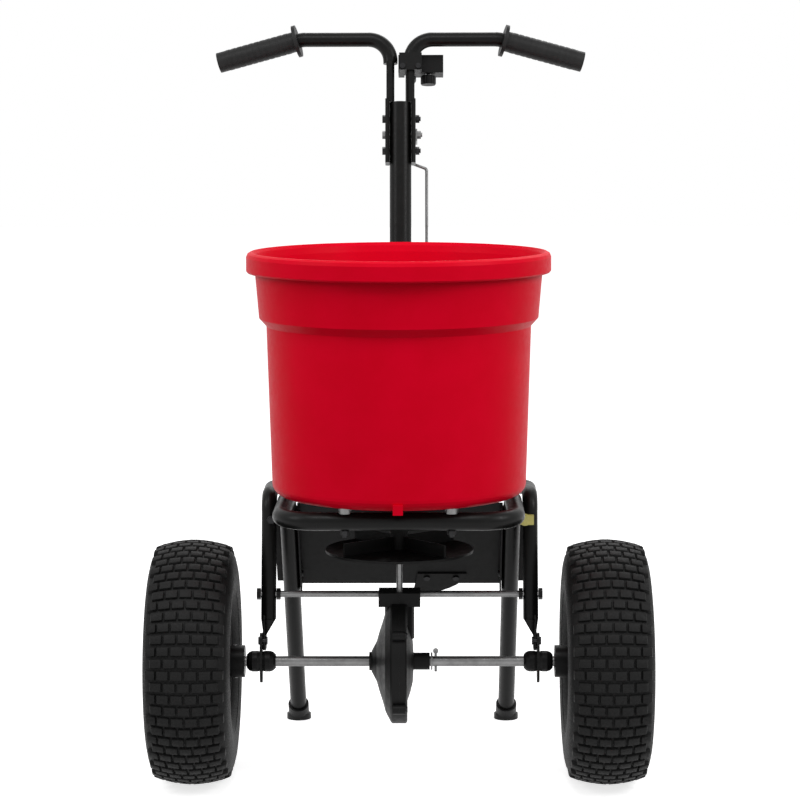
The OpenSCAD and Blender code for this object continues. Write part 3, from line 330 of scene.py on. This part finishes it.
def turf_tyre_mesh(centre):
    """Two rows of lugs repeated round the tyre, the carcass, and the rings on its sides."""
    bm = bmesh.new()
    pitch = math.tau / (2 * ROW_PAIRS)
    for x in PLAIN_ROW:
        lug(bm, x, 0.0, LUG_WIDTH, LUG_LENGTH, centre)
    for x in SHOULDER_ROW:
        width = EDGE_LUG_WIDTH if abs(x) > EDGE_LUG_FROM else LUG_WIDTH
        lug(bm, x, pitch, width, LUG_LENGTH, centre)
    bmesh.ops.spin(
        bm, geom=bm.verts[:] + bm.edges[:] + bm.faces[:], cent=centre, axis=(1, 0, 0), dvec=(0, 0, 0),
        angle=math.tau * (ROW_PAIRS - 1) / ROW_PAIRS, steps=ROW_PAIRS - 1, use_merge=False,
        use_normal_flip=False, use_duplicate=True,
    )
    spun(bm, carcass_section(), centre, CARCASS_STEPS)
    for side in (-1, 1):
        for x_out, r in SIDE_BANDS:
            deep, proud = side * (x_out - BAND_SINK), side * (x_out + BAND_RISE)
            band = [(deep, r - BAND_FOOT), (proud, r - BAND_TOP)]
            band += [(proud, r + BAND_TOP), (deep, r + BAND_FOOT)]
            spun(bm, band, centre, BAND_STEPS)
    return bm


def turf_tyre(name, cad_node, body):
    """A tyre with tread blocks in the place of a plain CAD tyre."""
    low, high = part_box(cad_node)
    centre = Vector(((low.x + high.x) / 2, AXLE.y, AXLE.z))
    piece = finish_piece(turf_tyre_mesh(centre), name, TYRE, body, SHARP_ANGLE)
    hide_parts(cad_node)


turf_tyre("turf_tyre_left", "tyre_left", "drive_axle")
turf_tyre("turf_tyre_right", "tyre_right", "wheel_right")


# ---------------------------------------------------------------- floor, light and camera

FLOOR_HALF = 12.0
FLOOR_GLOW = 0.72
FLOOR_SEEN, FLOOR_BOUNCED = (0.9, 0.9, 0.9), (0.3, 0.3, 0.3)
ROOM_SEEN, ROOM_BOUNCED = 1.0, 0.46

# Name, place, aim, width and height, watts
LAMPS = [
    ("key from above", (-0.2, -1.5, 3.0), (0, 0, 0.7), (1.6, 1.2), 28),
    ("right side fill", (2.2, -1.1, 2.0), (0, 0, 0.7), (0.9, 1.4), 30),
    ("left side fill", (-2.2, -1.0, 2.0), (0, 0, 0.7), (0.9, 1.4), 20),
    ("back edge", (0.4, 2.2, 2.4), (0, 0, 0.6), (2.0, 1.0), 14),
]

# The camera stands in front of the axle; angles are in radians
CAMERA_SENSOR, CAMERA_LENS, CAMERA_SHIFT = 36.0, 120.2985, -0.1
CAMERA_NEAR, CAMERA_FAR = 0.1, 60.0
CAMERA_AWAY, CAMERA_HEIGHT, CAMERA_ASIDE = 3.2894, 0.885, 0.0015
CAMERA_YAW, CAMERA_PITCH, CAMERA_ROLL = 0.0106, 0.0922, 0.0026


def add_up(tree, first, second):
    total = node(tree, "ShaderNodeMath", operation="ADD", use_clamp=True)
    tree.links.new(first, total.inputs[0])
    tree.links.new(second, total.inputs[1])
    return total.outputs[0]


def seen_directly(tree):
    """1 for what the camera, a reflection or clear plastic looks at, 0 for light that bounces."""
    path = node(tree, "ShaderNodeLightPath")
    seen = add_up(tree, path.outputs["Is Camera Ray"], path.outputs["Is Glossy Ray"])
    return add_up(tree, seen, path.outputs["Is Transmission Ray"])


def white_floor():
    """Floor that looks white and still takes the object's shadow."""
    bm = bmesh.new()
    bmesh.ops.create_grid(bm, x_segments=1, y_segments=1, size=FLOOR_HALF)
    mesh = bpy.data.meshes.new("floor")
    bm.to_mesh(mesh)
    bm.free()
    floor = bpy.data.objects.new("floor", mesh)
    bpy.context.scene.collection.objects.link(floor)
    material, tree, shader = new_material("white floor")
    seen = seen_directly(tree)
    tree.links.new(blended(tree, seen, FLOOR_BOUNCED, FLOOR_SEEN), shader.inputs["Base Color"])
    tree.links.new(graded(tree, seen, 0.0, FLOOR_GLOW, 0, 1), shader.inputs["Emission Strength"])
    shader.inputs["Emission Color"].default_value = WHITE
    shader.inputs["Roughness"].default_value = 0.9
    shader.inputs["Specular IOR Level"].default_value = 0.0
    mesh.materials.append(material)


def area_light(name, place, aim, size, watts):
    data = bpy.data.lights.new(name, "AREA")
    data.shape = "RECTANGLE"
    data.size, data.size_y = size
    data.energy = watts
    lamp = bpy.data.objects.new(name, data)
    lamp.location = place
    lamp.rotation_euler = (Vector(aim) - Vector(place)).to_track_quat("-Z", "Y").to_euler()
    bpy.context.scene.collection.objects.link(lamp)


def white_room():
    """Even light all round, and plain white where it is looked at."""
    world = bpy.data.worlds.new("white room")
    bpy.context.scene.world = world
    world.use_nodes = True
    tree = world.node_tree
    background = tree.nodes["Background"]
    strength = graded(tree, seen_directly(tree), ROOM_BOUNCED, ROOM_SEEN, 0, 1)
    tree.links.new(strength, background.inputs["Strength"])
    background.inputs["Color"].default_value = WHITE


def front_camera():
    data = bpy.data.cameras.new("camera")
    data.sensor_width = CAMERA_SENSOR
    data.lens = CAMERA_LENS
    data.shift_y = CAMERA_SHIFT
    data.clip_start, data.clip_end = CAMERA_NEAR, CAMERA_FAR
    camera = bpy.data.objects.new("camera", data)
    sin_yaw, cos_yaw = math.sin(CAMERA_YAW), math.cos(CAMERA_YAW)
    sin_pitch, cos_pitch = math.sin(CAMERA_PITCH), math.cos(CAMERA_PITCH)
    camera.location = (
        CAMERA_ASIDE * cos_yaw + CAMERA_AWAY * sin_yaw,
        AXLE.y + CAMERA_ASIDE * sin_yaw - CAMERA_AWAY * cos_yaw,
        CAMERA_HEIGHT,
    )
    look = Vector((-cos_pitch * sin_yaw, cos_pitch * cos_yaw, -sin_pitch))
    camera.rotation_mode = "QUATERNION"
    roll = Matrix.Rotation(CAMERA_ROLL, 3, look).to_quaternion()
    camera.rotation_quaternion = roll @ look.to_track_quat("-Z", "Y")
    bpy.context.scene.collection.objects.link(camera)
    bpy.context.scene.camera = camera


white_floor()
white_room()
for lamp in LAMPS:
    area_light(*lamp)
bpy.context.scene.view_settings.view_transform = "Standard"
front_camera()
